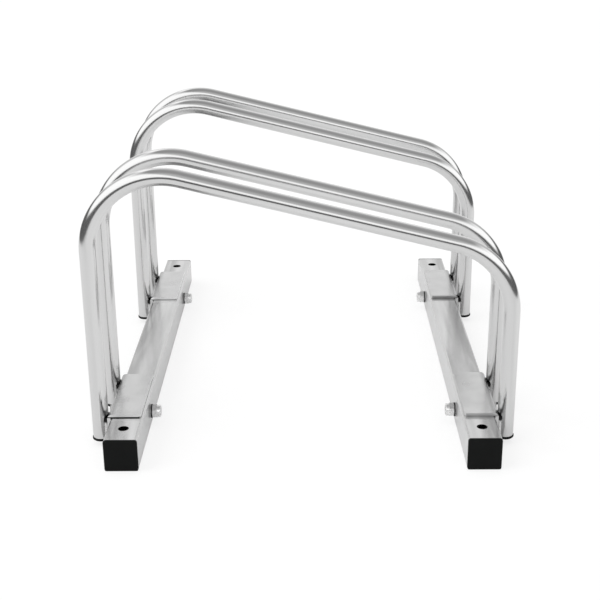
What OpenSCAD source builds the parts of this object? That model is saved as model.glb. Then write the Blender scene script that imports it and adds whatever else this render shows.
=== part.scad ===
// Floor stand for two bicycles.
// Two square tube rails lie on the floor and run from front to back, along Y.
// Two units stand across them. Each unit is a pair of bent tube hoops, and a wheel
// rolls in sideways, along X, between the two hoops of a pair.
// Every hoop is high on the left (-X) and its top bar falls to the right (+X).
// The legs are welded to the outside of four angle brackets, which are bolted to the rails.
// The origin is on the floor, at the middle of the stand. Sizes are in millimetres.

/* [Rails] */
// Outside width and height of each square rail tube
rail_w = 25; // [22:0.5:35]
// Wall of the rail tube
rail_wall = 1.5; // [1:0.1:2.2]
// Outside radius of the rail tube's four long corners
rail_corner_r = 2; // [1.5:0.1:4]
// Distance across both rails, from outer face to outer face
rail_gauge = 290; // [220:5:480]
// Diameter of the floor fixing holes, drilled down through each rail
fixing_hole_d = 8; // [5:0.5:11]
// Distance from the end of the stand to the middle of a fixing hole
fixing_inset = 20; // [18:1:28]

/* [Layout] */
// Distance from the front end of the stand to the middle of the front unit
front_overhang = 75; // [72:1:140]
// Distance between the middles of the two units, which is the spacing of the bicycles
unit_pitch = 253; // [150:1:420]
// Distance from the middle of the rear unit to the rear end of the stand
rear_overhang = 82; // [72:1:140]
// Distance between the centre lines of the two hoops in a unit
hoop_spacing = 60; // [50:1:66]

/* [Hoops] */
// Outside diameter of the hoop tube
tube_d = 12.7; // [10:0.1:16]
// Wall of the hoop tube
tube_wall = 1.2; // [0.8:0.1:2]
// Height where the centre lines of the high leg and the top bar would cross
high_corner_h = 225; // [190:1:320]
// Fall of the top bar, in degrees
bar_slope = 14; // [6:0.5:20]
// Radius of both bends, at the tube's centre line
bend_r = 55; // [30:1:70]
// Height of the cut end of each leg above the floor
leg_end_h = 6.5; // [4:0.5:12]
// Gap between a leg and the bracket that the weld beads bridge
leg_gap = 0.1; // [0.05:0.05:0.5]

/* [Brackets] */
// Length of each angle bracket along the rail
bracket_len = 75; // [68:1:90]
// Thickness of the bracket's plate
plate_t = 2.5; // [1.5:0.1:4]
// Outside radius of the bracket's bend
bracket_bend_r = 3.5; // [2.5:0.1:5]
// Inside radius of the bracket's bend
bracket_inner_r = 1; // [0.4:0.1:1.4]
// How far the bracket's flange reaches down below the rail's top
flange_drop = 22; // [19:0.5:24]
// How far the bracket's top plate stops short of the rail's inner face
plate_setback = 1.8; // [0:0.1:4]
// Radius of the plate's two corners above the rail's inner face, seen from above
plate_corner_r = 2; // [0.5:0.5:6]
// Radius of the weld beads
weld_r = 1.9; // [1.2:0.1:2.4]
// Distance that the weld beads stay away from the ends of the flange
weld_margin = 2; // [0:0.5:6]

/* [Bolts] */
// Diameter of the bracket bolts
bolt_d = 6; // [5:0.1:7]
// Extra diameter of the bolt holes in the brackets and rails
bolt_hole_play = 0.5; // [0.3:0.1:1]
// Bolt head, across its flats
head_af = 10; // [9:0.5:13]
// Height of the bolt head
head_h = 4; // [3:0.1:6]
// Lock nut, across its flats
nut_af = 10; // [9.8:0.1:13]
// Height of the lock nut's six-sided part
nut_hex_h = 3.9; // [3:0.1:7]
// Height of the lock nut's round collar
nut_collar_h = 2.6; // [1.8:0.1:4.5]
// Thickness of the nylon ring inside the collar
nylon_t = 1.3; // [1:0.1:1.5]
// Radial width of the nylon ring
nylon_w = 1.2; // [0.8:0.1:1.3]
// Outside diameter of the washer
washer_d = 11; // [10:0.5:18]
// Thickness of the washer
washer_t = 1.6; // [0.8:0.1:2.5]
// Extra diameter of the washer's hole
washer_play = 0.4; // [0.2:0.1:1]
// Length of bolt that shows past the nut
bolt_tip = 0.5; // [0.5:0.1:6]

/* [Plugs and caps] */
// Thickness of the leg plug's flange, which is the part that shows
plug_flange_t = 2; // [1:0.1:3]
// How far the leg plug's flange stands out past the tube
plug_rim = 0.5; // [0:0.1:1.5]
// Length of the leg plug inside the tube
plug_depth = 10; // [5:1:20]
// Thickness of the rail cap's flange
cap_flange_t = 2; // [1.5:0.1:3]
// Length of the rail cap inside the tube
cap_depth = 9; // [6:0.5:10]
// Wall of the rail cap's hollow insert
cap_wall = 1.6; // [1:0.1:3]
// How far the rail cap's ribs stand out from the insert
cap_rib_h = 0.9; // [0.4:0.1:1.5]
// Thickness of each rib on the rail cap's insert
cap_rib_t = 1; // [0.6:0.1:1.5]
// Bevel round the visible edge of the plugs and caps
edge_bevel = 0.7; // [0.3:0.1:0.9]

/* [Hidden] */
$fn = 96;
// Clearance between a plastic insert and the tube that it is pushed into
insert_gap = 0.1;
// Clearance round the bolt in the nut and the nylon ring
thread_gap = 0.1;
// Thickness of the lip that is rolled over the nylon ring
nylon_lip_t = 0.35;
// Overlap of the nylon ring by that lip, measured on the radius
nylon_lip_w = 0.5;
// Wall of the lock nut's collar outside the nylon ring
collar_wall = 0.6;
// Bevel on the corners of the bolt heads and nuts
hex_bevel = 0.8;
// Bevel on the tip of the bolt
tip_bevel = 0.8;
// How far a cutting tool runs past the face that it cuts
past = 1;
// Height of a weld bead's centre above the plate, as a share of its radius
weld_sit = 0.6;
// Distance of a weld bead's centre from the tube's skin, as a share of its radius
weld_lift = 0.35;
// Number of ribs on each rail cap's insert
cap_ribs = 3;
// Extra turn, in degrees, that each bend is drawn with before it is cut
spare_turn = 2;

UNITS = ["front", "rear"];
ROWS = ["outer", "inner"];
SIDES = ["left", "right"];

stand_len = front_overhang + unit_pitch + rear_overhang;
rail_len = stand_len - 2 * cap_flange_t;
rail_front_y = -rail_len / 2;
rail_x = (rail_gauge - rail_w) / 2;
rail_bore = rail_w - 2 * rail_wall;
rail_bore_r = max(rail_corner_r - rail_wall, 0.3);
bolt_z = rail_w / 2;
bolt_hole_d = bolt_d + bolt_hole_play;
fixing_ys = [fixing_inset - stand_len / 2, stand_len / 2 - fixing_inset];

plate_top_z = rail_w + plate_t;
flange_x = rail_gauge / 2 + plate_t;
plate_inner_x = rail_gauge / 2 - rail_w + plate_setback;
flange_low_z = rail_w - flange_drop;

leg_x = flange_x + leg_gap + tube_d / 2;
tube_bore = tube_d - 2 * tube_wall;
high_turn = 90 + bar_slope;
low_turn = 90 - bar_slope;
low_corner_h = high_corner_h - 2 * leg_x * tan(bar_slope);
high_setback = bend_r * tan(high_turn / 2);
low_setback = bend_r * tan(low_turn / 2);
high_bend_z = high_corner_h - high_setback;
low_bend_z = low_corner_h - low_setback;
bar_len = 2 * leg_x / cos(bar_slope) - high_setback - low_setback;

weld_x = flange_x + weld_sit * weld_r;
weld_reach = tube_d / 2 + weld_lift * weld_r;
weld_y = sqrt(pow(weld_reach, 2) - pow(leg_x - weld_x, 2));
weld_low_z = flange_low_z + weld_margin;
weld_high_z = plate_top_z - bracket_bend_r;

nut_h = nut_hex_h + nut_collar_h;
nut_bore = bolt_d + thread_gap;
nylon_d = nut_bore + 2 * nylon_w;
nylon_z = nut_h - nylon_lip_t - nylon_t;
collar_d = nylon_d + 2 * collar_wall;
nut_x = rail_gauge / 2 - rail_w - washer_t;
bolt_len = plate_t + rail_w + washer_t + nut_h + bolt_tip;

bright_steel = [0.80, 0.81, 0.82];
rail_steel = [0.76, 0.77, 0.78];
plate_steel = [0.72, 0.73, 0.74];
zinc = [0.78, 0.79, 0.76];
black_plastic = [0.08, 0.08, 0.09];
white_nylon = [0.90, 0.90, 0.86];
black_steel = [0.16, 0.16, 0.16];

// Middle of a unit, along Y
function unit_y(unit) = -stand_len / 2 + front_overhang + (unit == "rear" ? unit_pitch : 0);

// Centre line of a hoop, along Y: the outer hoops are the ones nearer the ends of the stand
function hoop_y(unit, row) =
    unit_y(unit) + hoop_spacing / 2 * ((unit == "front") == (row == "outer") ? -1 : 1);

// Draws a piece of the left side, or its mirror image on the right
module on_side(side) {
    mirror([side == "right" ? 1 : 0, 0, 0])
        children();
}

// Turns a fastener that is drawn along Z so that it points from outside the rail to inside
module at_bolt(unit, side, x) {
    on_side(side)
        translate([-x, unit_y(unit), bolt_z])
            rotate([0, 90, 0])
                children();
}

// Square with round corners, about its middle
module rounded_square(width, r) {
    square([width, width - 2 * r], center = true);
    square([width - 2 * r, width], center = true);
    for (x = [-1, 1], y = [-1, 1])
        translate([x * (width / 2 - r), y * (width / 2 - r)])
            circle(r);
}

// What a round corner takes off a square one that lies at the origin
module corner_cut(r) {
    difference() {
        square(r);
        translate([r, r])
            circle(r);
    }
}

// Cross-section of the hoop tube
module tube_ring() {
    difference() {
        circle(d = tube_d);
        circle(d = tube_bore);
    }
}

// Six-sided prism with its corners bevelled at the top
module bevelled_hex(af, height) {
    corner_r = af / 2 / cos(30);
    intersection() {
        cylinder(r = corner_r, h = height, $fn = 6);
        rotate_extrude()
            polygon([
                [0, 0],
                [corner_r, 0],
                [corner_r, height - hex_bevel / 2],
                [corner_r - hex_bevel, height],
                [0, height]
            ]);
    }
}

// Square steel tube on the floor, with its fixing holes and the holes for the bracket bolts
module rail(side) {
    color(rail_steel)
        on_side(side)
            difference() {
                translate([-rail_x, rail_front_y, rail_w / 2])
                    rotate([-90, 0, 0])
                        linear_extrude(rail_len)
                            difference() {
                                rounded_square(rail_w, rail_corner_r);
                                rounded_square(rail_bore, rail_bore_r);
                            }
                for (y = fixing_ys)
                    translate([-rail_x, y, -past])
                        cylinder(d = fixing_hole_d, h = rail_w + 2 * past);
                for (u = UNITS)
                    translate([-rail_gauge / 2 - past, unit_y(u), bolt_z])
                        rotate([0, 90, 0])
                            cylinder(d = bolt_hole_d, h = rail_w + 2 * past);
            }
}

// Side view of the rail cap's flange, with its bevelled visible edge
module cap_side() {
    half = rail_w / 2;
    polygon([
        [-half, 0],
        [-half, cap_flange_t - edge_bevel],
        [edge_bevel - half, cap_flange_t],
        [half - edge_bevel, cap_flange_t],
        [half, cap_flange_t - edge_bevel],
        [half, 0]
    ]);
}

// The rail cap's flange, with its seat on the XY plane
module cap_flange() {
    intersection() {
        linear_extrude(cap_flange_t)
            rounded_square(rail_w, rail_corner_r);
        rotate([90, 0, 0])
            linear_extrude(rail_w + 2 * past, center = true)
                cap_side();
        rotate([90, 0, 90])
            linear_extrude(rail_w + 2 * past, center = true)
                cap_side();
    }
}

// The hollow ribbed part of a rail cap, which is pushed into the tube
module cap_insert() {
    fit = rail_bore - 2 * insert_gap;
    core = fit - 2 * cap_rib_h;
    rib_step = (cap_depth - cap_rib_t) / cap_ribs;
    difference() {
        union() {
            linear_extrude(cap_depth)
                square(core, center = true);
            for (i = [1:cap_ribs])
                translate([0, 0, i * rib_step])
                    linear_extrude(cap_rib_t)
                        square([fit - 2 * rail_bore_r, fit - 2 * rail_bore_r], center = true);
        }
        translate([0, 0, -past])
            linear_extrude(cap_depth + 2 * past)
                square(core - 2 * cap_wall, center = true);
    }
}

// Black plastic cap in the end of a rail
module cap(unit, side) {
    color(black_plastic)
        on_side(side)
            mirror([0, unit == "rear" ? 1 : 0, 0])
                translate([-rail_x, rail_front_y, rail_w / 2])
                    rotate([90, 0, 0]) {
                        cap_flange();
                        mirror([0, 0, 1])
                            cap_insert();
                    }
}

// A bend and the leg beyond it, for a top bar that arrives at the origin along -X.
// The bend is drawn a little long and cut by the plane that the leg starts from.
module bend_and_leg(turn, leg_len) {
    translate([0, 0, -bend_r])
        rotate([90, 0, 0]) {
            difference() {
                rotate([0, 0, 90])
                    rotate_extrude(angle = turn + spare_turn)
                        translate([bend_r, 0])
                            tube_ring();
                rotate([0, 0, 90 + turn])
                    translate([bend_r - tube_d, 0, -tube_d])
                        cube(2 * tube_d);
            }
            rotate([0, 0, 90 + turn])
                translate([bend_r, 0, 0])
                    rotate([-90, 0, 0])
                        linear_extrude(leg_len)
                            tube_ring();
        }
}

// One bent tube: a straight top bar along X with a leg at each end, tilted to its slope
module hoop(unit, row) {
    color(bright_steel)
        translate([
            bend_r - leg_x + bend_r * sin(bar_slope),
            hoop_y(unit, row),
            high_bend_z + bend_r * cos(bar_slope)
        ])
            rotate([0, bar_slope, 0]) {
                rotate([0, 90, 0])
                    linear_extrude(bar_len)
                        tube_ring();
                bend_and_leg(high_turn, high_bend_z - leg_end_h);
                translate([bar_len, 0, 0])
                    mirror([1, 0, 0])
                        bend_and_leg(low_turn, low_bend_z - leg_end_h);
            }
}

// Black plastic plug in the bottom end of a leg
module leg_plug(unit, row, side) {
    rim_r = tube_d / 2 + plug_rim;
    pin_r = tube_bore / 2 - insert_gap;
    color(black_plastic)
        on_side(side)
            translate([-leg_x, hoop_y(unit, row), leg_end_h])
                rotate_extrude()
                    polygon([
                        [0, -plug_flange_t],
                        [rim_r - edge_bevel, -plug_flange_t],
                        [rim_r, edge_bevel - plug_flange_t],
                        [rim_r, 0],
                        [pin_r, 0],
                        [pin_r, plug_depth - edge_bevel],
                        [pin_r - edge_bevel, plug_depth],
                        [0, plug_depth]
                    ]);
}

// Cross-section of the left brackets, looking along the rail: X across, Y up
module bracket_profile() {
    difference() {
        translate([-flange_x, flange_low_z])
            square([flange_x - plate_inner_x, plate_top_z - flange_low_z]);
        difference() {
            translate([-rail_gauge / 2, flange_low_z - past])
                square([rail_gauge / 2, rail_w - flange_low_z + past]);
            translate([-rail_gauge / 2, rail_w])
                mirror([0, 1])
                    corner_cut(bracket_inner_r);
        }
        translate([-flange_x, plate_top_z])
            mirror([0, 1])
                corner_cut(bracket_bend_r);
    }
}

// Angle bracket: its plate lies on the rail and its flange goes down the rail's outer face
module bracket(unit, side) {
    color(plate_steel)
        on_side(side)
            difference() {
                translate([0, unit_y(unit) + bracket_len / 2, 0])
                    rotate([90, 0, 0])
                        linear_extrude(bracket_len)
                            bracket_profile();
                translate([-flange_x - past, unit_y(unit), bolt_z])
                    rotate([0, 90, 0])
                        cylinder(d = bolt_hole_d, h = plate_t + 2 * past);
                for (end = [-1, 1])
                    translate([-plate_inner_x, unit_y(unit) + end * bracket_len / 2, rail_w - past])
                        mirror([1, 0, 0])
                            mirror([0, end > 0 ? 1 : 0, 0])
                                linear_extrude(plate_t + 2 * past)
                                    corner_cut(plate_corner_r);
            }
}

// Cross-section of the two weld beads beside one leg, seen from above
module weld_pair() {
    difference() {
        for (side_y = [-1, 1])
            translate([-weld_x, side_y * weld_y])
                circle(weld_r);
        translate([-leg_x, 0])
            circle(d = tube_d);
    }
}

// The weld beads between a bracket's flange and its two legs, kept within the flange
module welds(unit, side) {
    color(plate_steel)
        on_side(side)
            translate([0, 0, weld_low_z])
                linear_extrude(weld_high_z - weld_low_z)
                    intersection() {
                        for (row = ROWS)
                            translate([0, hoop_y(unit, row)])
                                weld_pair();
                        translate([-leg_x, unit_y(unit) - bracket_len / 2])
                            square([leg_x - flange_x, bracket_len]);
                    }
}

// Bolt through the bracket's flange and the rail
module bolt(unit, side) {
    r = bolt_d / 2;
    color(zinc)
        at_bolt(unit, side, flange_x) {
            mirror([0, 0, 1])
                bevelled_hex(head_af, head_h);
            rotate_extrude()
                polygon([
                    [0, 0],
                    [r, 0],
                    [r, bolt_len - tip_bevel],
                    [r - tip_bevel, bolt_len],
                    [0, bolt_len]
                ]);
        }
}

// Washer on the rail's inner face
module washer(unit, side) {
    color(black_steel)
        at_bolt(unit, side, rail_gauge / 2 - rail_w)
            difference() {
                cylinder(d = washer_d, h = washer_t);
                translate([0, 0, -past])
                    cylinder(d = bolt_d + washer_play, h = washer_t + 2 * past);
            }
}

// Half-section of the space inside the lock nut: the bolt's bore and the nylon ring's seat
module nut_space() {
    polygon([
        [0, -past],
        [nut_bore / 2, -past],
        [nut_bore / 2, nylon_z],
        [nylon_d / 2, nylon_z],
        [nylon_d / 2, nylon_z + nylon_t],
        [nylon_d / 2 - nylon_lip_w, nylon_z + nylon_t],
        [nylon_d / 2 - nylon_lip_w, nut_h + past],
        [0, nut_h + past]
    ]);
}

// Lock nut on the washer: a six-sided part, and a round collar that holds a nylon ring
module lock_nut(unit, side) {
    color(zinc)
        at_bolt(unit, side, nut_x)
            difference() {
                union() {
                    bevelled_hex(nut_af, nut_hex_h);
                    rotate_extrude()
                        polygon([
                            [0, 0],
                            [collar_d / 2, 0],
                            [collar_d / 2, nut_h - nylon_lip_t],
                            [collar_d / 2 - nylon_lip_t, nut_h],
                            [0, nut_h]
                        ]);
                }
                rotate_extrude()
                    nut_space();
            }
}

// Nylon ring that grips the bolt inside the lock nut
module nylon_ring(unit, side) {
    color(white_nylon)
        at_bolt(unit, side, nut_x)
            translate([0, 0, nylon_z])
                difference() {
                    cylinder(d = nylon_d, h = nylon_t);
                    translate([0, 0, -past])
                        cylinder(d = nut_bore, h = nylon_t + 2 * past);
                }
}

for (s = SIDES)
    rail(s);

for (u = UNITS, r = ROWS)
    hoop(u, r);

for (u = UNITS, r = ROWS, s = SIDES)
    leg_plug(u, r, s);

for (u = UNITS, s = SIDES) {
    cap(u, s);
    bracket(u, s);
    welds(u, s);
    bolt(u, s);
    washer(u, s);
    lock_nut(u, s);
    nylon_ring(u, s);
}
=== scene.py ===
"""Looks of a floor stand for two bicycles: plated tube hoops on square rails, in a white studio.

Lengths are in metres. X runs to the right, Y to the back and Z up, from the middle of the
stand on the floor.
"""

import math

import bmesh
import bpy
from mathutils import Matrix, Vector


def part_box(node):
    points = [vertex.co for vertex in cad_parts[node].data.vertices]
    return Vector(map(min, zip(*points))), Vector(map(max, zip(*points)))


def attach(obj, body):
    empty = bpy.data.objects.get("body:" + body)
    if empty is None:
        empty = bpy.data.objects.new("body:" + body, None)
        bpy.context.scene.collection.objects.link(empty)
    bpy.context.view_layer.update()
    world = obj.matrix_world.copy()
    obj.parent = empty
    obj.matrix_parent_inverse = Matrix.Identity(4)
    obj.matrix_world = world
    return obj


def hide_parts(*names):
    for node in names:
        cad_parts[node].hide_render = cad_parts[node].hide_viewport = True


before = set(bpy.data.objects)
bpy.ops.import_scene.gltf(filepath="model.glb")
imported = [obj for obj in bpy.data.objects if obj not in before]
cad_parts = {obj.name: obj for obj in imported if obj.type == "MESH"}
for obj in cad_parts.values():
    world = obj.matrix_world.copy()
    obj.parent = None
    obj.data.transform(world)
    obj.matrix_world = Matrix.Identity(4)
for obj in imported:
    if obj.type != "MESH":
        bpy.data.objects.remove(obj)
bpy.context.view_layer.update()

BODY = "root"
UNITS = ("front", "rear")
ROWS = ("outer", "inner")
SIDES = ("left", "right")

MM = 0.001

# Camera: its place, its turns in radians, and its lens and sensor in millimetres
CAMERA_AT = (0.0072, -0.9502, 0.4137)
CAMERA_PITCH = 0.3599
CAMERA_YAW = -0.0106
CAMERA_ROLL = 0.0099
CAMERA_LENS = 69.295
SENSOR_W = 36.0
CAMERA_NEAR = 10 * MM

# Hoops. The high corner is the height at which the middle lines of the high leg and the bar meet
BAR_SLOPE = math.radians(14)
HIGH_CORNER = 225 * MM
BEND_R = 55 * MM
TUBE_WALL = 1.2 * MM
RIM_BEVEL = 0.25 * MM
TUBE_SIDES = 64
TUBE_CREASE = math.radians(30)
BEND_STEP = math.radians(2.5)
STRAIGHT_STEP = 8 * MM

# Weld beads. A bead's middle line stands off the flange and the leg by shares of its radius. The
# ripples of different beads are shifted by parts of a ripple, of which there are WELD_PHASES
WELD_R = 1.9 * MM
WELD_OFF_FLANGE = 0.6
WELD_OFF_LEG = 0.35
WELD_SIDES = 28
WELD_RIPPLE = 1.5 * MM
WELD_RIPPLE_DEPTH = 0.13
WELD_RIPPLE_BOW = 0.35
WELD_PHASES = 3
WELD_END_LEAST = 0.02
WELD_STEP = 0.2 * MM
WELD_CREASE = math.radians(50)
WELD_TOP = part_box("front_welds_left")[1].z

# Bolts
BOLT_R = 3 * MM
THREAD_PITCH = 1 * MM
THREAD_DEPTH = 0.5 * MM
THREAD_LEN = 12 * MM
THREAD_STEPS = 8
TIP_BEVEL = 0.8 * MM
AXIS_R = 0.05 * MM
HEAD_AF = 10 * MM
HEAD_H = 4 * MM
HEX_BEVEL = 0.8 * MM
HEX_STEPS = 5
DISH_R = 3.4 * MM
DISH_FLOOR_R = 2.6 * MM
DISH_DEPTH = 0.2 * MM
DISH_MIDDLE_DEPTH = 0.25 * MM

# Lock nuts: the bolts' hexagon, and a collar that is rolled over the nylon ring
NUT_HEX_H = 3.9 * MM
NUT_BORE_R = 3.05 * MM
NUT_FACE_R = NUT_BORE_R + 0.9 * MM
NYLON_R = 4.25 * MM
NYLON_T = 1.3 * MM
COLLAR_R = 4.85 * MM
COLLAR_FOOT_H = 0.15 * MM
COLLAR_FOOT_W = 0.02 * MM
COLLAR_ROLL = 0.6 * MM
COLLAR_ROLL_STEPS = 5
LIP_DEPTH = 0.35 * MM
LIP_W = 0.5 * MM
LIP_EDGE = 0.1 * MM

# Washers. The middle of a rounded edge lies off both of its faces by this share of its size
WASHER_BORE_R = 3.2 * MM
WASHER_EDGE = 0.2 * MM
ROUND_MIDDLE = 0.3

# Bolts, nuts and washers alike
FASTENER_SIDES = 96
FASTENER_CREASE = math.radians(28)

# Edges of the folded plates and mouldings
PLATE_EDGE = 0.35 * MM
MOULD_EDGE = 0.3 * MM
EDGE_STEPS = 2
EDGE_ANGLE = math.radians(35)
MERGE_GAP = 0.001 * MM

# Noise: its turn in radians, which keeps its cells from lining up with the faces, and the middle
# of its values
NOISE_TURN = (0.6, 0.4, 0.9)
NOISE_MIDDLE = (0.3, 0.7)

# Drawn lines in the steel: how steep they are, and how strongly they show
GRAIN_SLOPE = 0.002
GRAIN_STRENGTH = 0.5

# Patches and grain of the plastics
PATCH_SCALE = (90, 90, 90)
PATCH_UNEVEN = 0.06
MOULD_GRAIN_STRENGTH = 0.6

# Painted shade on the rails: darker streaks along their outer side, for the shadow and dark reflections of
# the legs.
# Where they start and are full, measured from the stand's middle, the values of the noise at which they
# start and are full, and how strong they are at least
SHADE_STREAK_X = (130 * MM, 140 * MM)
SHADE_STREAK_SCALE = (160, 14, 160)
SHADE_STREAK_NOISE = (0.35, 0.6)
SHADE_STREAK_LEAST = 0.25
SHADE_STREAK_GREY = 0.40

# Inner sides of the rails: how far a surface faces outwards where their look is full and where it ends
INNER_SIDE_FACING = (-0.95, -0.7)
INNER_SIDE_ROUGHNESS = 0.36
INNER_SIDE_GREY = 0.68

# Sheared edges of the plates: the greys below and above, and the heights between which they
# change, as shares of the plate's thickness. The greys are partly painted shade and light: the dark
# foot paints the shadow in the gap under the plate, and the greys differ from left to right and from
# front to rear for the light that each edge gets. An edge is told by how squarely it faces the front,
# the back or the stand's middle, and starts a little below the rail's top
SHEAR_LEFT = (0.01, 0.84)
SHEAR_LEFT_REAR = (0.45, 0.95)
SHEAR_LEFT_AT = (0.24, 0.36)
SHEAR_RIGHT = (0.34, 0.56)
SHEAR_RIGHT_REAR = (0.20, 0.44)
SHEAR_RIGHT_AT = (0, 0.7)
SHEAR_ROUGHNESS = 0.45
SHEAR_FACING = (0.75, 0.95)
SHEAR_BELOW = 0.1 * MM

# Half the width of the bands in which left turns into right and front into rear
MIDDLE_BAND = 10 * MM

# Dull outside of the plates' bends: where it starts and is full, from the stand's middle, and how
# far it faces up there
BEND_DULL_X = (141 * MM, 146 * MM)
BEND_DULL_FACING = (0, 0.4)
BEND_DULL_GREY = 0.36

# Painted shade at the top end of each weld bead: black for the shaded groove between leg and bracket
CREVICE_SHADE_LEN = 3 * MM
CREVICE_SHADE_SCALE = (700, 700, 700)
CREVICE_SHADE_GREY = 0.015
CREVICE_SHADE_ROUGHNESS = 0.35

# Painted reflections above the welds: dark streaks for the rail's shaded outer side mirrored in the
# legs. A streak rises beside each bead and turns round the leg as it rises. Its place round the leg
# is a cosine from the side that faces the rail: it starts at REFLECTION_STREAK_TURN and falls by a
# factor e over REFLECTION_STREAK_TURN_H. Its width is a cosine too, at its foot and at its top
REFLECTION_STREAK_START = -1 * MM
REFLECTION_STREAK_LEN = 24 * MM
REFLECTION_STREAK_FADE = REFLECTION_STREAK_LEN / 3
REFLECTION_STREAK_TURN = 0.8
REFLECTION_STREAK_TURN_H = 17 * MM
REFLECTION_STREAK_WIDTH = (0.22, 0.08)
REFLECTION_STREAK_GREY = 0.10

# Plain grey on the washers' side next to the rail, where their painted shade stops: it starts and is full
# at these distances from the rail
RAIL_SIDE_FROM = 0.75 * MM
RAIL_SIDE_FULL = 0.45 * MM
RAIL_SIDE_GREY = 0.5

# Light of the studio. Strengths are radiances, where 1 is white
WORLD_LIGHT = 0.6

# Lamps: their apparent size, and each one's strength, azimuth and elevation
LAMP_ANGLE = math.radians(60)
KEY_LAMP = (1.3, math.radians(-80), math.radians(42))
FILL_LAMP = (0.45, math.radians(30), math.radians(55))

# The room that the metal reflects. Its tops are elevations in degrees, each with the start and
# the end of a soft edge
WALL_FRONT = 1.5
WALL_BACK = 1.0
WALL_CORNER = 0.75
WALL_TOP_FRONT = (24, 38)
WALL_TOP_BACK = (35, 65)
WALL_TOP_LEFT = (52, 78)
WALL_TOP_RIGHT = (30, 70)
CEILING_FRONT = 0.68
CEILING_MIDDLE = 0.41
CEILING_BACK = 0.62
SKIRTING_GLOW = 0.15
SKIRTING_TOP_FRONT = (5, 13)
SKIRTING_TOP_SIDES = (12, 26)

# Where the room changes: parts of a direction along Y, from -1 in front to 1 behind
FRONT_TO_MIDDLE = (-0.75, -0.2)
FRONT_TO_SIDES = (-0.2, 0.5)
SIDES_TO_CORNERS = (0.1, 0.5)
MIDDLE_TO_BACK = (0.2, 0.6)
FRONT_TO_BACK = (0.6, 0.92)

# And parts of a direction along X, from -1 on the left to 1 on the right
LEFT_TO_MIDDLE = (-0.4, 0.1)
MIDDLE_TO_RIGHT = (0.3, 0.85)
MIDDLE_TO_CORNERS = (0.3, 0.5)

# Floor. In reflections it starts to turn dark and is dark at these distances from the stand's middle
FLOOR_SIZE = 60
FLOOR_ROUGHNESS = 0.9
FLOOR_FADE = (0.85, 1.15)

# Colour and glow of the floor, to the camera, and in reflections and diffuse light
FLOOR_SEEN = (0.28, 0.75)
FLOOR_LIT = (0.88, 0.14)


def aimed(pitch, yaw, roll):
    """Rotation of a camera that looks along +Y, down by pitch, to the right by yaw."""
    forward = Vector((
        math.sin(yaw) * math.cos(pitch),
        math.cos(yaw) * math.cos(pitch),
        -math.sin(pitch),
    ))
    right = Vector((math.cos(yaw), -math.sin(yaw), 0))
    down = forward.cross(right)
    turned_right = math.cos(roll) * right + math.sin(roll) * down
    turned_down = math.cos(roll) * down - math.sin(roll) * right
    return Matrix((turned_right, -turned_down, -forward)).transposed()


def make_camera():
    """The camera, at the photograph's viewing angle."""
    data = bpy.data.cameras.new("camera")
    data.lens = CAMERA_LENS
    data.sensor_width = SENSOR_W
    data.clip_start = CAMERA_NEAR
    camera = bpy.data.objects.new("camera", data)
    turn = aimed(CAMERA_PITCH, CAMERA_YAW, CAMERA_ROLL).to_4x4()
    camera.matrix_world = Matrix.Translation(CAMERA_AT) @ turn
    bpy.context.scene.collection.objects.link(camera)
    bpy.context.scene.camera = camera


# Nodes

def new_material(name):
    """A material with an empty Principled shader: returns the material, its tree and the shader."""
    material = bpy.data.materials.new(name)
    material.use_nodes = True
    tree = material.node_tree
    return material, tree, tree.nodes["Principled BSDF"]


def put(tree, kind, inputs=(), **settings):
    """Adds a node, sets its own settings and fills its inputs with values or with sockets."""
    node = tree.nodes.new(kind)
    for key, value in settings.items():
        setattr(node, key, value)
    for key, value in dict(inputs).items():
        if isinstance(value, bpy.types.NodeSocket):
            tree.links.new(value, node.inputs[key])
        else:
            node.inputs[key].default_value = value
    return node


def computed(tree, operation, *values):
    """Result of a math node on numbers or sockets."""
    return put(tree, "ShaderNodeMath", enumerate(values), operation=operation).outputs[0]


def scaled(tree, first, second):
    """Product of two numbers or sockets."""
    return computed(tree, "MULTIPLY", first, second)


def split(tree, vector):
    """The X, Y and Z of a vector."""
    return put(tree, "ShaderNodeSeparateXYZ", {0: vector}).outputs


def noise(tree, vector, scale, detail):
    """Noise from 0 to 1 at scale spots per metre along each axis."""
    spots = put(tree, "ShaderNodeVectorMath", {0: vector, 1: scale}, operation="MULTIPLY").outputs[0]
    inputs = {"Vector": spots, "Rotation": NOISE_TURN}
    place = put(tree, "ShaderNodeVectorRotate", inputs, rotation_type="EULER_XYZ").outputs["Vector"]
    return put(tree, "ShaderNodeTexNoise", {"Vector": place, "Scale": 1.0, "Detail": detail}).outputs["Fac"]


def ramp(tree, value, start, end, first, last, smooth=True):
    """Goes from first to last while value goes from start to end. Each may be a number or a socket."""
    kind = "SMOOTHSTEP" if smooth else "LINEAR"
    inputs = {"Value": value, "From Min": start, "From Max": end, "To Min": first, "To Max": last}
    return put(tree, "ShaderNodeMapRange", inputs, interpolation_type=kind).outputs["Result"]


def ramps(tree, value, span, first, last):
    """Ramps over one span between two rows of numbers or sockets, pair by pair."""
    return [ramp(tree, value, *span, a, b) for a, b in zip(first, last)]


def between(tree, fac, low, high):
    """Maps the middle of a noise to a value from low to high."""
    return ramp(tree, fac, *NOISE_MIDDLE, low, high, smooth=False)


def blended(tree, fac, first, second):
    """Mixes two colours. Each may be a socket, three numbers, or one number for a grey."""
    node = put(tree, "ShaderNodeMix", data_type="RGBA")
    for key, value in {"Factor": fac, "A": first, "B": second}.items():
        socket = [s for s in node.inputs if s.name == key and s.enabled][0]
        if isinstance(value, bpy.types.NodeSocket):
            tree.links.new(value, socket)
        elif isinstance(value, tuple):
            socket.default_value = (*value, 1.0)
        else:
            socket.default_value = (value, value, value, 1.0)
    return [s for s in node.outputs if s.enabled][0]


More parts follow.
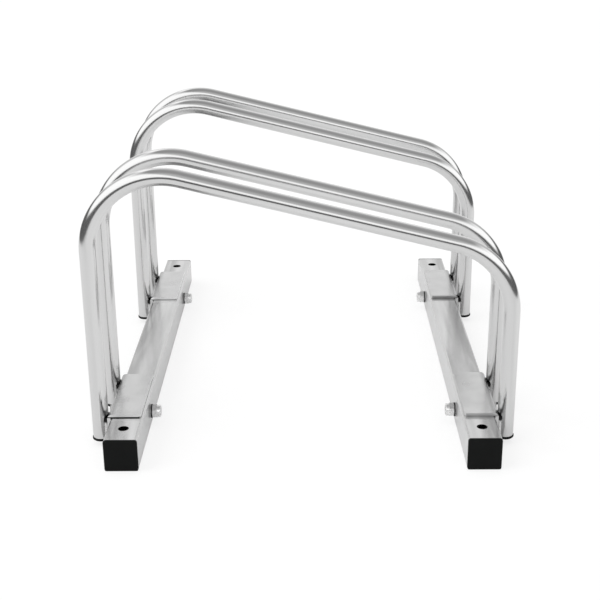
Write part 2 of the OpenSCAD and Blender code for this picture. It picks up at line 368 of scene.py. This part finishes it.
def bump(tree, height, distance, strength=1.0, normal=None):
    """Normal of a skin that rises by distance, in metres, where height goes from 0 to 1."""
    inputs = {"Height": height, "Distance": distance, "Strength": strength}
    if normal is not None:
        inputs["Normal"] = normal
    return put(tree, "ShaderNodeBump", inputs).outputs["Normal"]


# Materials

def steel(name, greys, roughness, grain, cloud, wave, wave_depth, flow=False, marks_and_shade=None):
    """Plated steel: soft cloudy patches, fine lines along the grain and a slightly wavy skin.

    greys and roughness are those of the light patches and of the dark ones. With flow the
    patterns follow a bent tube. marks_and_shade adds marks of its own and painted shade: it takes the
    tree, the colour and the roughness, and returns the last two.
    """
    material, tree, shader = new_material(name)
    if flow:
        where = put(tree, "ShaderNodeUVMap", uv_map="flow").outputs["UV"]
    else:
        where = put(tree, "ShaderNodeTexCoord").outputs["Object"]
    light, dark = greys
    gloss, matt = roughness
    clouds = noise(tree, where, cloud, detail=1.5)
    colour = blended(tree, between(tree, clouds, 0.0, 1.0), dark, light)
    rough = between(tree, clouds, matt, gloss)
    if marks_and_shade is not None:
        colour, rough = marks_and_shade(tree, colour, rough)
    skin = bump(tree, noise(tree, where, wave, detail=0.0), wave_depth)
    lines = noise(tree, where, grain, detail=2.0)
    skin = bump(tree, lines, GRAIN_SLOPE / max(grain), GRAIN_STRENGTH, skin)
    shader.inputs["Metallic"].default_value = 1.0
    tree.links.new(colour, shader.inputs["Base Color"])
    tree.links.new(rough, shader.inputs["Roughness"])
    tree.links.new(skin, shader.inputs["Normal"])
    return material


def facing_out(tree, coords):
    """How far a surface faces away from the stand's middle along X, from -1 to 1."""
    x = split(tree, coords["Object"])["X"]
    return scaled(tree, split(tree, coords["Normal"])["X"], computed(tree, "SIGN", x))


def rail_shade_and_inner_side(tree, colour, rough):
    """Painted shade: darker streaks along the outer side of each rail, for the shadow and dark reflections
    of the legs.

    The inner side, where the tube's seam was ground off, is rougher and lighter.
    """
    coords = put(tree, "ShaderNodeTexCoord").outputs
    where = coords["Object"]
    edge = ramp(tree, computed(tree, "ABSOLUTE", split(tree, where)["X"]), *SHADE_STREAK_X, 0, 1)
    shade_streaks = ramp(tree, noise(tree, where, SHADE_STREAK_SCALE, detail=1.0), *SHADE_STREAK_NOISE, SHADE_STREAK_LEAST, 1)
    inner = ramp(tree, facing_out(tree, coords), *INNER_SIDE_FACING, 1, 0)
    # painted shade: the streaks darken the outer side of each rail
    colour = blended(tree, scaled(tree, edge, shade_streaks), colour, SHADE_STREAK_GREY)
    colour = blended(tree, inner, colour, INNER_SIDE_GREY)
    return colour, ramp(tree, inner, 0, 1, rough, INNER_SIDE_ROUGHNESS)


def painted_crevice_shade(tree, colour, rough):
    """Painted shade: black at the top of each bead for the shaded groove between leg and bracket, with a
    ragged lower edge.
    """
    where = put(tree, "ShaderNodeTexCoord").outputs["Object"]
    ragged = scaled(tree, noise(tree, where, CREVICE_SHADE_SCALE, detail=1.0), CREVICE_SHADE_LEN)
    height = computed(tree, "ADD", split(tree, where)["Z"], ragged)
    fac = ramp(tree, height, WELD_TOP - CREVICE_SHADE_LEN, WELD_TOP - CREVICE_SHADE_LEN / 2, 0, 1)
    rough = ramp(tree, fac, 0, 1, rough, CREVICE_SHADE_ROUGHNESS, smooth=False)
    # painted shade: black for the shaded groove at the bead's top
    return blended(tree, fac, colour, CREVICE_SHADE_GREY), rough


def painted_reflection_streaks(tree, colour, rough):
    """Painted reflection: dark streaks on the legs above each bead, for the rail's shaded outer side
    mirrored in the leg.
    """
    coords = put(tree, "ShaderNodeTexCoord").outputs
    inward = scaled(tree, facing_out(tree, coords), -1)
    height = computed(tree, "SUBTRACT", split(tree, coords["Object"])["Z"], WELD_TOP)
    fall = computed(tree, "EXPONENT", scaled(tree, height, -1 / REFLECTION_STREAK_TURN_H))
    off = computed(tree, "SUBTRACT", inward, scaled(tree, fall, REFLECTION_STREAK_TURN))
    width = ramp(tree, height, 0, REFLECTION_STREAK_LEN, *REFLECTION_STREAK_WIDTH)
    line = ramp(tree, computed(tree, "ABSOLUTE", off), 0, width, 1, 0)
    start = ramp(tree, height, REFLECTION_STREAK_START, 0, 0, 1)
    end = ramp(tree, height, REFLECTION_STREAK_FADE, REFLECTION_STREAK_LEN, 1, 0)
    # painted reflection: dark streaks on the leg above each weld
    return blended(tree, scaled(tree, line, scaled(tree, start, end)), colour, REFLECTION_STREAK_GREY), rough


def cut_edges(tree, colour, rough):
    """Edges of the plates as a shear leaves them, burnished above and torn below, with painted light and
    shade: a dark foot for the shadow in the gap under the plate, and greys that differ from left to right
    and front to rear for the light that each edge gets.

    The outside of the plates' bends is dull.
    """
    coords = put(tree, "ShaderNodeTexCoord").outputs
    place = split(tree, coords["Object"])
    normal = split(tree, coords["Normal"])
    left = ramp(tree, place["X"], -MIDDLE_BAND, MIDDLE_BAND, 1, 0)
    rear = ramp(tree, place["Y"], -MIDDLE_BAND, MIDDLE_BAND, 0, 1)
    end = computed(tree, "ABSOLUTE", normal["Y"])
    facing = computed(tree, "MAXIMUM", end, scaled(tree, left, normal["X"]))
    low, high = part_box("rail_left")[1].z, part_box("front_bracket_left")[1].z
    above = computed(tree, "GREATER_THAN", place["Z"], low - SHEAR_BELOW)
    cut = scaled(tree, above, ramp(tree, facing, *SHEAR_FACING, 0, 1))
    height = ramp(tree, place["Z"], low, high, 0, 1, smooth=False)
    left_greys = ramps(tree, rear, (0, 1), SHEAR_LEFT, SHEAR_LEFT_REAR)
    right_greys = ramps(tree, rear, (0, 1), SHEAR_RIGHT, SHEAR_RIGHT_REAR)
    on_left = ramp(tree, height, *SHEAR_LEFT_AT, *left_greys)
    on_right = ramp(tree, height, *SHEAR_RIGHT_AT, *right_greys)
    out = computed(tree, "ABSOLUTE", place["X"])
    raised = ramp(tree, normal["Z"], *BEND_DULL_FACING, 0, 1)
    dull = scaled(tree, ramp(tree, out, *BEND_DULL_X, 0, 1), raised)
    colour = blended(tree, dull, colour, BEND_DULL_GREY)
    # painted shade and light: the edge greys darken the foot for the gap's shadow and change by side and
    # end
    colour = blended(tree, cut, colour, ramp(tree, left, 0, 1, on_right, on_left))
    return colour, ramp(tree, cut, 0, 1, rough, SHEAR_ROUGHNESS, smooth=False)


def rail_side_rim(tree, colour, rough):
    """Plain grey on the side of a washer next to the rail, where the washer's painted shade stops."""
    where = put(tree, "ShaderNodeTexCoord").outputs["Object"]
    out = computed(tree, "ABSOLUTE", split(tree, where)["X"])
    wall = -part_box("front_washer_left")[0].x
    rail_side = ramp(tree, out, wall - RAIL_SIDE_FROM, wall - RAIL_SIDE_FULL, 0, 1)
    # the grey rim keeps the washer's painted shade narrow
    return blended(tree, rail_side, colour, RAIL_SIDE_GREY), rough


def plastic(name, light, dark, roughness, grain, grain_depth, specular):
    """Moulded plastic with a fine grain and a slightly uneven gloss."""
    material, tree, shader = new_material(name)
    where = put(tree, "ShaderNodeTexCoord").outputs["Object"]
    spots = noise(tree, where, (grain,) * 3, detail=2.0)
    patches = noise(tree, where, PATCH_SCALE, detail=3.0)
    colour = blended(tree, between(tree, patches, 0.0, 1.0), dark, light)
    rough = between(tree, patches, roughness - PATCH_UNEVEN, roughness + PATCH_UNEVEN)
    tree.links.new(colour, shader.inputs["Base Color"])
    tree.links.new(rough, shader.inputs["Roughness"])
    tree.links.new(bump(tree, spots, grain_depth, MOULD_GRAIN_STRENGTH), shader.inputs["Normal"])
    shader.inputs["Specular IOR Level"].default_value = specular
    return material


def make_materials():
    """All materials by name. Grain, cloud and wave are spots per metre along X, Y and Z."""
    steels = {
        "hoop_steel": dict(
            greys=(0.68, 0.59), roughness=(0.12, 0.17), grain=(700, 12, 700), cloud=(190, 5, 190),
            wave=(70, 8, 70), wave_depth=0.02 * MM, flow=True, marks_and_shade=painted_reflection_streaks),
        "rail_steel": dict(
            greys=(0.65, 0.55), roughness=(0.13, 0.20), grain=(900, 24, 900), cloud=(150, 12, 150),
            wave=(60, 10, 60), wave_depth=0.015 * MM, marks_and_shade=rail_shade_and_inner_side),
        "bracket_steel": dict(
            greys=(0.60, 0.55), roughness=(0.22, 0.28), grain=(900, 40, 900), cloud=(60, 60, 60),
            wave=(50, 30, 50), wave_depth=0.01 * MM, marks_and_shade=cut_edges),
        "weld_steel": dict(
            greys=(0.68, 0.60), roughness=(0.2, 0.3), grain=(1500, 1500, 1500), cloud=(400, 400, 400),
            wave=(400, 400, 400), wave_depth=0.004 * MM, marks_and_shade=painted_crevice_shade),
        "fastener_zinc": dict(
            greys=(0.84, 0.74), roughness=(0.22, 0.32), grain=(1500, 1500, 1500), cloud=(300, 300, 300),
            wave=(400, 400, 400), wave_depth=0.004 * MM),
        # Painted shade: the washers are near black for the shaded groove between nut and rail
        "washer_black": dict(
            greys=(0.05, 0.03), roughness=(0.35, 0.45), grain=(1500, 1500, 1500), cloud=(300, 300, 300),
            wave=(400, 400, 400), wave_depth=0.004 * MM, marks_and_shade=rail_side_rim),
    }
    plastics = {
        "black_plastic": dict(
            light=(0.0055, 0.0060, 0.0058), dark=(0.0040, 0.0044, 0.0042), roughness=0.42,
            grain=2500, grain_depth=0.012 * MM, specular=0.09),
        "white_nylon": dict(
            light=(0.80, 0.80, 0.76), dark=(0.72, 0.72, 0.68), roughness=0.40,
            grain=1500, grain_depth=0.01 * MM, specular=0.5),
    }
    materials = {name: steel(name, **look) for name, look in steels.items()}
    materials.update((name, plastic(name, **look)) for name, look in plastics.items())
    return materials


# Meshes

def rows_to_mesh(name, rows, closed_loop=False, caps=False):
    """Joins rows of points into a skin of quads. Every row is a closed ring of the same length.

    A closed loop joins the last row to the first, and caps close both ends.
    """
    shape = bmesh.new()
    rings = [[shape.verts.new(p) for p in row] for row in rows]
    pairs = list(zip(rings, rings[1:]))
    if closed_loop:
        pairs.append((rings[-1], rings[0]))
    for this, following in pairs:
        for i in range(len(this)):
            j = (i + 1) % len(this)
            shape.faces.new((this[i], this[j], following[j], following[i]))
    if caps:
        shape.faces.new(reversed(rings[0]))
        shape.faces.new(rings[-1])
    bmesh.ops.recalc_face_normals(shape, faces=shape.faces)
    mesh = bpy.data.meshes.new(name)
    shape.to_mesh(mesh)
    shape.free()
    return mesh


def smooth_by_angle(mesh, angle):
    """Shades faces smoothly, and keeps edges that turn by more than angle sharp."""
    for face in mesh.polygons:
        face.use_smooth = True
    mesh.set_sharp_from_angle(angle=angle)


def new_piece(name, mesh, material, slot, *nodes):
    """Adds a piece that stands for CAD nodes, with the given material, and hides the nodes."""
    piece = bpy.data.objects.new(name, mesh)
    bpy.context.scene.collection.objects.link(piece)
    mesh.materials.clear()
    mesh.materials.append(material)
    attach(piece, BODY)
    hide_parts(*nodes)


# Hoops

def straight_steps(start, end):
    """Points from start up to, but not including, end."""
    count = max(1, round((end - start).length / STRAIGHT_STEP))
    return [start.lerp(end, i / count) for i in range(count)]


def hoop_path(leg_x, leg_end):
    """Stations along a hoop, from the foot of the high leg to that of the low one: point and direction."""
    high_setback = BEND_R * math.tan((math.pi / 2 + BAR_SLOPE) / 2)
    low_setback = BEND_R * math.tan((math.pi / 2 - BAR_SLOPE) / 2)
    low_corner = HIGH_CORNER - 2 * leg_x * math.tan(BAR_SLOPE)
    high_centre = Vector((BEND_R - leg_x, 0, HIGH_CORNER - high_setback))
    low_centre = Vector((leg_x - BEND_R, 0, low_corner - low_setback))
    bar_angle = math.pi / 2 - BAR_SLOPE
    stations = []

    def straight(start, end):
        direction = (end - start).normalized()
        stations.extend((p, direction) for p in straight_steps(start, end))

    def bend(centre, first, last):
        count = math.ceil((first - last) / BEND_STEP)
        for i in range(count):
            a = first + (last - first) * i / count
            stations.append((at(centre, a), Vector((math.sin(a), 0, -math.cos(a)))))

    def at(centre, a):
        return centre + BEND_R * Vector((math.cos(a), 0, math.sin(a)))

    straight(Vector((-leg_x, 0, leg_end)), at(high_centre, math.pi))
    bend(high_centre, math.pi, bar_angle)
    straight(at(high_centre, bar_angle), at(low_centre, bar_angle))
    bend(low_centre, bar_angle, 0.0)
    foot = Vector((leg_x, 0, leg_end))
    straight(at(low_centre, 0.0), foot)
    stations.append((foot, Vector((0, 0, -1))))
    return stations


def ring(centre, direction, radius):
    """Points round a tube's section, in a plane through the Y axis."""
    across = Vector((direction.z, 0, -direction.x))
    points = []
    for i in range(TUBE_SIDES):
        a = 2 * math.pi * i / TUBE_SIDES
        points.append(centre + radius * (math.cos(a) * across + math.sin(a) * Vector((0, 1, 0))))
    return points


def add_flow(mesh, stations, tube_r):
    """Stores the place round and along the tube, in metres, for the lines of the drawn metal.

    Both ways round count alike, so that the pattern has no seam. The rims and the bore take the
    value of the last station.
    """
    travelled = [0.0]
    for (a, _), (b, _) in zip(stations, stations[1:]):
        travelled.append(travelled[-1] + (b - a).length)
    layer = mesh.uv_layers.new(name="flow")
    for face in mesh.polygons:
        for corner in face.loop_indices:
            row, side = divmod(mesh.loops[corner].vertex_index, TUBE_SIDES)
            folded = abs(2 * side / TUBE_SIDES - 1)
            along = travelled[min(row, len(travelled) - 1)]
            layer.data[corner].uv = (folded * math.pi * tube_r, along)


def make_hoop(unit, row, materials):
    """A bent tube with its bore. The outer edges of its ends are bevelled."""
    node = f"{unit}_hoop_{row}"
    low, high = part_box(node)
    tube_r = (high.y - low.y) / 2
    leg_x = (high.x - low.x) / 2 - tube_r
    middle = Vector((0, (low.y + high.y) / 2, 0))
    stations = [(middle + p, d) for p, d in hoop_path(leg_x, low.z)]
    first, last = stations[0], stations[-1]
    outside = [ring(p, d, tube_r) for p, d in stations]
    outside[0] = ring(first[0] + RIM_BEVEL * first[1], first[1], tube_r)
    outside[-1] = ring(last[0] - RIM_BEVEL * last[1], last[1], tube_r)
    rims = [ring(p, d, tube_r - RIM_BEVEL) for p, d in (first, last)]
    bore = [ring(p, d, tube_r - TUBE_WALL) for p, d in stations]
    rows = outside + [rims[1]] + bore[::-1] + [rims[0]]
    mesh = rows_to_mesh(node + "_skin", rows, closed_loop=True)
    add_flow(mesh, stations, tube_r)
    smooth_by_angle(mesh, TUBE_CREASE)
    new_piece(f"{unit}_{row}_bent_tube", mesh, materials["hoop_steel"], "hoop_steel", node)


# Weld beads

def bead_section(centre, leg, tube_r, flange_x, end_y, ripple, z):
    """One slice of a weld bead. Its round skin stops at the leg, the flange and the flange's end."""
    to_leg = leg - centre
    points = []
    for i in range(WELD_SIDES):
        a = 2 * math.pi * i / WELD_SIDES
        out = Vector((math.cos(a), math.sin(a)))
        reach = WELD_R * ripple(a, z)
        if out.x * (flange_x - centre.x) > 0:
            reach = min(reach, (flange_x - centre.x) / out.x)
        if end_y is not None and out.y * (end_y - centre.y) > 0:
            reach = min(reach, (end_y - centre.y) / out.y)
        along = to_leg.dot(out)
        inside = tube_r ** 2 - (to_leg.length_squared - along ** 2)
        if along > 0 and inside > 0:
            reach = min(reach, along - math.sqrt(inside))
        points.append(Vector((centre.x + reach * out.x, centre.y + reach * out.y, z)))
    return points


def bead_ripple(low, high, phase):
    """How full a bead is at an angle and height: crescents up its length, and round ends."""
    def ripple(a, z):
        bowed = z + WELD_RIPPLE_BOW * WELD_R * math.cos(2 * a) + phase
        crescent = abs(math.sin(math.pi * bowed / WELD_RIPPLE))
        full = 1 - WELD_RIPPLE_DEPTH * (1 - crescent)
        to_end = min(z - low, high - z) / WELD_R
        return full * math.sqrt(max(WELD_END_LEAST, 1 - max(0.0, 1 - to_end) ** 2))
    return ripple


def make_welds(unit, side, materials):
    """The four beads of one bracket, two beside each leg."""
    node = f"{unit}_welds_{side}"
    low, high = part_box(node)
    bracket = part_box(f"{unit}_bracket_{side}")
    outward = -1 if side == "left" else 1
    flange_x = bracket[0].x if side == "left" else bracket[1].x
    count = round((high.z - low.z) / WELD_STEP)
    heights = [low.z + (high.z - low.z) * i / count for i in range(count + 1)]
    joined = bmesh.new()
    for row_number, row in enumerate(ROWS):
        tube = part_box(f"{unit}_hoop_{row}")
        tube_r = (tube[1].y - tube[0].y) / 2
        leg = Vector((outward * (tube[1].x - tube_r), (tube[0].y + tube[1].y) / 2))
        bead_x = flange_x + outward * WELD_OFF_FLANGE * WELD_R
        reach = tube_r + WELD_OFF_LEG * WELD_R
        bead_y = math.sqrt(reach ** 2 - (leg.x - bead_x) ** 2)
        for beside in (-1, 1):
            centre = Vector((bead_x, leg.y + beside * bead_y))
            ends = [y for y in (bracket[0].y, bracket[1].y) if abs(y - centre.y) < WELD_R]
            end_y = ends[0] if ends else None
            phase = (row_number + 2 * beside) * WELD_RIPPLE / WELD_PHASES
            ripple = bead_ripple(low.z, high.z, phase)
            slices = [bead_section(centre, leg, tube_r, flange_x, end_y, ripple, z) for z in heights]
            joined.from_mesh(rows_to_mesh("bead", slices, caps=True))
    mesh = bpy.data.meshes.new(node + "_beads")
    joined.to_mesh(mesh)
    joined.free()
    smooth_by_angle(mesh, WELD_CREASE)
    new_piece(f"{unit}_{side}_weld_beads", mesh, materials["weld_steel"], "bracket_steel", node)


# Fasteners

def fastener_axis(node, side, inset=0.0):
    """The axis of a fastener: its start, inset from the end on the outer side, its length and direction."""
    low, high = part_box(node)
    inward = 1 if side == "left" else -1
    outer_x = low.x if side == "left" else high.x
    start = Vector((outer_x + inward * inset, (low.y + high.y) / 2, (low.z + high.z) / 2))
    return start, high.x - low.x - inset, inward


def turned(rows, start, direction):
    """Rings of points about an axis along X. A row is a height and a radius, or a function of the angle."""
    rings = []
    for height, radius in rows:
        points = []
        for i in range(FASTENER_SIDES):
            a = 2 * math.pi * i / FASTENER_SIDES
            r = radius(a) if callable(radius) else radius
            points.append(start + Vector((direction * height, r * math.sin(a), r * math.cos(a))))
        rings.append(points)
    return rings


def hexagon_r(a, across_flats):
    """Distance from a hexagon's middle to its side, in the direction of angle a."""
    third = math.pi / 3
    return across_flats / 2 / math.cos((a % third) - third / 2)


def hex_rows(across_flats, height, low_bevel, high_bevel):
    """Rows up the side of a hexagon whose corners are turned off at a slant."""
    corner = across_flats / 2 / math.cos(math.pi / 6)
    rise = HEX_BEVEL / 2

    def cut(limit):
        return lambda a: min(hexagon_r(a, across_flats), limit)

    levels = []
    if low_bevel:
        for k in range(HEX_STEPS):
            levels.append((rise * k / HEX_STEPS, corner - HEX_BEVEL * (1 - k / HEX_STEPS)))
    levels.append((rise if low_bevel else 0.0, corner))
    levels.append((height - rise if high_bevel else height, corner))
    if high_bevel:
        for k in range(1, HEX_STEPS + 1):
            levels.append((height - rise + rise * k / HEX_STEPS, corner - HEX_BEVEL * k / HEX_STEPS))
    return [(h, cut(r)) for h, r in levels]


def thread_r(height, length):
    """Radius of the bolt at a height, by angle: a plain shank, then a thread and a bevelled tip."""
    def radius(a):
        into = height - (length - THREAD_LEN)
        turn = (height / THREAD_PITCH - a / (2 * math.pi)) % 1.0
        groove = THREAD_DEPTH * (1 - abs(2 * turn - 1)) * min(1.0, max(0.0, into / THREAD_PITCH))
        tip = BOLT_R - max(0.0, height - (length - TIP_BEVEL))
        return min(BOLT_R - groove, tip)
    return radius


def make_bolt(unit, side, materials):
    """A hexagon head with a shallow dish, a shank and a cut thread. Heights start under the head."""
    node = f"{unit}_bolt_{side}"
    start, length, inward = fastener_axis(node, side, HEAD_H)
    dish = [
        (-HEAD_H + DISH_MIDDLE_DEPTH, AXIS_R),
        (-HEAD_H + DISH_DEPTH, DISH_FLOOR_R),
        (-HEAD_H, DISH_R),
    ]
    head = [(-h, r) for h, r in reversed(hex_rows(HEAD_AF, HEAD_H, False, True))]
    rows = dish + head + [(0.0, BOLT_R), (length - THREAD_LEN, BOLT_R)]
    count = round(THREAD_LEN / THREAD_PITCH * THREAD_STEPS)
    for k in range(1, count + 1):
        height = length - THREAD_LEN + THREAD_LEN * k / count
        rows.append((height, thread_r(height, length)))
    rows.append((length, AXIS_R))
    mesh = rows_to_mesh(node + "_turned", turned(rows, start, inward), caps=True)
    smooth_by_angle(mesh, FASTENER_CREASE)
    new_piece(f"{unit}_{side}_hex_bolt", mesh, materials["fastener_zinc"], "fastener_zinc", node)


def make_lock_nut(unit, side, materials):
    """A nut whose collar is rolled over its nylon ring. Heights start at its face on the washer."""
    node = f"{unit}_lock_nut_{side}"
    start, height, inward = fastener_axis(node, side)
    rows = [(0.0, NUT_BORE_R), (0.0, NUT_FACE_R)]
    rows += hex_rows(HEAD_AF, NUT_HEX_H, True, True)
    rows += [(NUT_HEX_H, COLLAR_R + COLLAR_FOOT_W), (NUT_HEX_H + COLLAR_FOOT_H, COLLAR_R)]
    for k in range(COLLAR_ROLL_STEPS + 1):
        a = math.radians(90 * k / COLLAR_ROLL_STEPS)
        rise = COLLAR_ROLL * math.sin(a)
        rows.append((height - COLLAR_ROLL + rise, COLLAR_R - COLLAR_ROLL * (1 - math.cos(a))))
    lip = NYLON_R - LIP_W
    rows += [(height, lip + LIP_EDGE), (height - LIP_EDGE, lip), (height - LIP_DEPTH, lip)]
    rows += [(height - LIP_DEPTH, NYLON_R), (height - LIP_DEPTH - NYLON_T, NYLON_R)]
    rows += [(height - LIP_DEPTH - NYLON_T, NUT_BORE_R)]
    mesh = rows_to_mesh(node + "_turned", turned(rows, start, inward), closed_loop=True)
    smooth_by_angle(mesh, FASTENER_CREASE)
    new_piece(f"{unit}_{side}_locking_nut", mesh, materials["fastener_zinc"], "fastener_zinc", node)


def make_washer(unit, side, materials):
    """A flat washer with rounded outer edges, alike on both faces."""
    node = f"{unit}_washer_{side}"
    low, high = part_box(node)
    start = Vector((low.x, (low.y + high.y) / 2, (low.z + high.z) / 2))
    thick = high.x - low.x
    out = (high.y - low.y) / 2
    edge = WASHER_EDGE
    near = ROUND_MIDDLE * edge
    rows = [
        (0.0, WASHER_BORE_R), (0.0, out - edge), (near, out - near), (edge, out),
        (thick - edge, out), (thick - near, out - near), (thick, out - edge), (thick, WASHER_BORE_R),
    ]
    mesh = rows_to_mesh(node + "_turned", turned(rows, start, 1), closed_loop=True)
    smooth_by_angle(mesh, FASTENER_CREASE)
    # painted shade: the washer's near black stands for the shaded groove between nut and rail
    new_piece(f"{unit}_{side}_flat_washer", mesh, materials["washer_black"], "washer_black", node)


# Carried-over parts

def finish(node, material):
    """Gives a carried-over part its material."""
    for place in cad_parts[node].material_slots:
        place.material = material


def soften(node, width, material):
    """Rounds the edges of a carried-over part with modifiers, and gives it its material."""
    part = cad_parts[node]
    weld = part.modifiers.new("weld", "WELD")
    weld.merge_threshold = MERGE_GAP
    edge = part.modifiers.new("edge", "BEVEL")
    edge.width = width
    edge.segments = EDGE_STEPS
    edge.limit_method = "ANGLE"
    edge.angle_limit = EDGE_ANGLE
    part.modifiers.new("shading", "WEIGHTED_NORMAL")
    finish(node, material)


# Studio

def share_seen(tree):
    """1 for rays from the camera, a reflection or a transmission, and 0 for diffuse light."""
    path = put(tree, "ShaderNodeLightPath").outputs
    seen = computed(tree, "MAXIMUM", path["Is Camera Ray"], path["Is Glossy Ray"])
    return computed(tree, "MAXIMUM", seen, path["Is Transmission Ray"])


def sines(elevations):
    """Sines of elevations in degrees, which are their heights on a unit sphere."""
    return [math.sin(math.radians(e)) for e in elevations]


def make_world():
    """White to the camera. Metal reflects a room with bright walls, a dark skirting and a grey ceiling.

    The skirting runs round the front and the sides only. The walls reach higher at the sides
    and behind, and are dimmer in the corners behind.
    """
    world = bpy.data.worlds.new("studio")
    bpy.context.scene.world = world
    world.use_nodes = True
    tree = world.node_tree
    x, y, z = split(tree, put(tree, "ShaderNodeTexCoord").outputs["Generated"])
    beside = ramp(tree, computed(tree, "ABSOLUTE", x), *MIDDLE_TO_CORNERS, 0, 1)
    corner = scaled(tree, beside, ramp(tree, y, *SIDES_TO_CORNERS, 0, 1))
    wall = ramp(tree, y, *FRONT_TO_BACK, WALL_FRONT, WALL_BACK)
    wall = ramp(tree, corner, 0, 1, wall, WALL_CORNER)
    wall_top = ramps(tree, y, FRONT_TO_BACK, sines(WALL_TOP_FRONT), sines(WALL_TOP_BACK))
    wall_top = ramps(tree, x, LEFT_TO_MIDDLE, sines(WALL_TOP_LEFT), wall_top)
    wall_top = ramps(tree, x, MIDDLE_TO_RIGHT, wall_top, sines(WALL_TOP_RIGHT))
    ceiling = ramp(tree, y, *FRONT_TO_MIDDLE, CEILING_FRONT, CEILING_MIDDLE)
    ceiling = ramp(tree, y, *MIDDLE_TO_BACK, ceiling, CEILING_BACK)
    skirting = ramp(tree, y, *FRONT_TO_BACK, SKIRTING_GLOW, WALL_BACK)
    skirting_top = ramps(tree, y, FRONT_TO_SIDES, sines(SKIRTING_TOP_FRONT), sines(SKIRTING_TOP_SIDES))
    room = ramp(tree, z, *skirting_top, skirting, wall)
    room = ramp(tree, z, *wall_top, room, ceiling)
    plain = ramp(tree, share_seen(tree), 0, 1, WORLD_LIGHT, 1.0, smooth=False)
    reflected = put(tree, "ShaderNodeLightPath").outputs["Is Glossy Ray"]
    strength = ramp(tree, reflected, 0, 1, plain, room, smooth=False)
    background = tree.nodes["Background"]
    background.inputs["Color"].default_value = (1, 1, 1, 1)
    tree.links.new(strength, background.inputs["Strength"])


def make_floor():
    """White floor that takes a soft shadow. In reflections it turns dark towards the skirting."""
    material, tree, shader = new_material("floor")
    where = put(tree, "ShaderNodeTexCoord").outputs["Object"]
    distance = put(tree, "ShaderNodeVectorMath", {0: where}, operation="LENGTH").outputs["Value"]
    direction = put(tree, "ShaderNodeVectorMath", {0: where}, operation="NORMALIZE").outputs["Vector"]
    skirted = ramp(tree, split(tree, direction)["Y"], *FRONT_TO_BACK, 1, 0)
    far = scaled(tree, ramp(tree, distance, *FLOOR_FADE, 0, 1), skirted)
    path = put(tree, "ShaderNodeLightPath").outputs
    dark = scaled(tree, far, path["Is Glossy Ray"])
    colour, glow = [
        ramp(tree, path["Is Camera Ray"], 0, 1, lit, seen, smooth=False)
        for lit, seen in zip(FLOOR_LIT, FLOOR_SEEN)
    ]
    colour = ramp(tree, dark, 0, 1, colour, SKIRTING_GLOW, smooth=False)
    glow = ramp(tree, dark, 0, 1, glow, 0, smooth=False)
    tree.links.new(colour, shader.inputs["Base Color"])
    tree.links.new(scaled(tree, share_seen(tree), glow), shader.inputs["Emission Strength"])
    shader.inputs["Emission Color"].default_value = (1, 1, 1, 1)
    shader.inputs["Roughness"].default_value = FLOOR_ROUGHNESS
    shader.inputs["Specular IOR Level"].default_value = 0.0
    half = FLOOR_SIZE / 2
    mesh = bpy.data.meshes.new("floor")
    corners = [(-half, -half, 0), (half, -half, 0), (half, half, 0), (-half, half, 0)]
    mesh.from_pydata(corners, [], [(0, 1, 2, 3)])
    mesh.materials.append(material)
    floor = bpy.data.objects.new("floor", mesh)
    bpy.context.scene.collection.objects.link(floor)


def soft_lamp(name, strength, azimuth, elevation):
    """Light as even as a wide softbox gives. Azimuth 0 is at the front and 90 degrees on the right."""
    data = bpy.data.lights.new(name, "SUN")
    data.energy = strength
    data.angle = LAMP_ANGLE
    lamp = bpy.data.objects.new(name, data)
    towards = Vector((
        math.sin(azimuth) * math.cos(elevation),
        -math.cos(azimuth) * math.cos(elevation),
        math.sin(elevation),
    ))
    lamp.matrix_world = towards.to_track_quat("Z", "Y").to_matrix().to_4x4()
    lamp.visible_glossy = False
    bpy.context.scene.collection.objects.link(lamp)


def make_studio():
    """The room, the floor and two soft lamps."""
    make_world()
    make_floor()
    soft_lamp("key_lamp", *KEY_LAMP)
    soft_lamp("fill_lamp", *FILL_LAMP)


def make_rack(materials):
    """Dresses every node of the stand: as it is, with softer edges, or as a piece modelled again."""
    for side in SIDES:
        finish(f"rail_{side}", materials["rail_steel"])
    for unit in UNITS:
        for row in ROWS:
            make_hoop(unit, row, materials)
            for side in SIDES:
                soften(f"{unit}_{row}_plug_{side}", MOULD_EDGE, materials["black_plastic"])
        for side in SIDES:
            make_welds(unit, side, materials)
            make_bolt(unit, side, materials)
            make_lock_nut(unit, side, materials)
            make_washer(unit, side, materials)
            finish(f"{unit}_nylon_ring_{side}", materials["white_nylon"])
            soften(f"{unit}_bracket_{side}", PLATE_EDGE, materials["bracket_steel"])
            soften(f"{unit}_cap_{side}", MOULD_EDGE, materials["black_plastic"])


make_camera()
make_studio()
make_rack(make_materials())
bpy.context.scene.view_settings.view_transform = "Standard"

bpy.context.view_layer.update()
